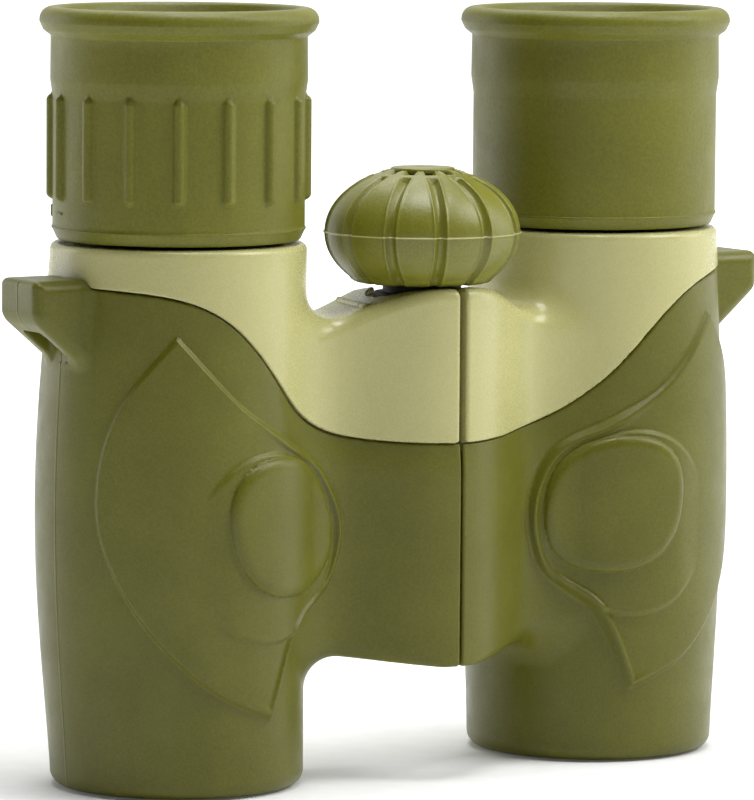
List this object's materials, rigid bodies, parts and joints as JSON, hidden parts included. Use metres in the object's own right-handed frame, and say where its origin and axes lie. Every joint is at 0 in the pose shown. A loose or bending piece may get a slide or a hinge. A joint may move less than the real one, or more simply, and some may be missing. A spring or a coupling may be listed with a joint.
{
  "type": "binoculars",
  "caption": "Compact folding roof-prism binoculars with rubber armour, a round ribbed focus knob, a dioptre ring and strap lugs.",
  "frame": {"origin": "middle of the bounding box at the plane the objective ends stand on", "axes": "+Z from the objectives up to the eyepieces, -Y is the upper side in use, +X towards the half without the dioptre ring"},
  "size_m": [0.112, 0.0386, 0.1],
  "materials": {
    "armour_rubber": "matt olive green soft rubber",
    "housing_plastic": "satin pale yellow-green moulding",
    "black_plastic": "matt black moulding",
    "black_metal": "black anodised",
    "optical_glass": "coated optical glass",
    "brass": "turned",
    "steel": "turned and ground"
  },
  "bodies": {
    "left_half": {"left_housing": "housing_plastic", "left_armour": "armour_rubber", "left_front_ring": "black_plastic", "left_prism_holder": "black_plastic", "left_baffle": "black_plastic", "left_lower_prism": "optical_glass", "left_roof_prism": "optical_glass", "left_prism_clip": "steel", "left_prism_screws": "steel", "left_eyepiece_guide": "black_plastic", "top_collar": "black_plastic", "hinge_end_cap": "black_plastic", "hinge_tube": "steel", "hinge_screw": "steel", "hinge_plug": "brass", "screw_bush": "brass", "knob_washer": "black_plastic", "hinge_washers": "black_plastic"},
    "left_objective": {"left_objective_cell": "black_metal", "left_objective_retainer": "black_metal", "left_objective_crown": "optical_glass", "left_objective_flint": "optical_glass"},
    "left_eyepiece": {"left_lens_tube": "black_plastic", "left_lens_spacer": "black_plastic", "left_eye_retainer": "black_plastic", "left_field_lens": "optical_glass", "left_eye_lens": "optical_glass"},
    "right_half": {"right_housing": "housing_plastic", "right_armour": "armour_rubber", "right_front_ring": "black_plastic", "right_prism_holder": "black_plastic", "right_baffle": "black_plastic", "right_lower_prism": "optical_glass", "right_roof_prism": "optical_glass", "right_prism_clip": "steel", "right_prism_screws": "steel", "right_lens_tube": "black_plastic", "right_lens_spacer": "black_plastic", "right_eye_retainer": "black_plastic", "right_field_lens": "optical_glass", "right_eye_lens": "optical_glass", "right_eyecup": "armour_rubber"},
    "right_objective": {"right_objective_cell": "black_metal", "right_objective_retainer": "black_metal", "right_objective_crown": "optical_glass", "right_objective_flint": "optical_glass"},
    "left_cup": {"left_eyecup": "armour_rubber", "left_dioptre_nut": "brass"},
    "focus_carriage": {"focus_nut": "brass", "focus_spool": "black_metal", "carriage_pins": "steel"},
    "knob": {"focus_screw": "steel", "focus_clip": "steel", "knob_core": "black_plastic", "knob_cover": "armour_rubber", "knob_cap": "armour_rubber"}
  },
  "joints": [
    {"name": "fold", "type": "hinge", "parent": "left_half", "child": "right_half", "pos_m": [0, -0.00662, 0.04], "axis": [0, 0, 1], "range_deg": [-1.5, 50]},
    {"name": "knob_turn", "type": "hinge", "parent": "left_half", "child": "knob", "pos_m": [0, -0.00662, 0.07], "axis": [0, 0, 1], "range_deg": [-200, 200]},
    {"name": "focus_slide", "type": "slide", "parent": "left_half", "child": "focus_carriage", "axis": [0, 0, 1], "range_m": [-0.00168, 0.00168]},
    {"name": "left_objective_slide", "type": "slide", "parent": "left_half", "child": "left_objective", "axis": [0, 0, 1], "range_m": [-0.00168, 0.00168]},
    {"name": "right_objective_slide", "type": "slide", "parent": "right_half", "child": "right_objective", "axis": [0, 0, 1], "range_m": [-0.00168, 0.00168]},
    {"name": "eyepiece_slide", "type": "slide", "parent": "left_half", "child": "left_eyepiece", "axis": [0, 0, 1], "range_m": [-0.00021, 0.00061]},
    {"name": "dioptre_turn", "type": "hinge", "parent": "left_eyepiece", "child": "left_cup", "pos_m": [-0.0321, 0.00112, 0.08], "axis": [0, 0, 1], "range_deg": [-30, 90]}
  ],
  "couplings": [
    {"joint": "focus_slide", "follows": "knob_turn", "m_per_rad": -0.00047746},
    {"joint": "left_objective_slide", "follows": "knob_turn", "m_per_rad": -0.00047746},
    {"joint": "right_objective_slide", "follows": "knob_turn", "m_per_rad": -0.00047746},
    {"joint": "eyepiece_slide", "follows": "dioptre_turn", "m_per_rad": 0.00038197}
  ]
}
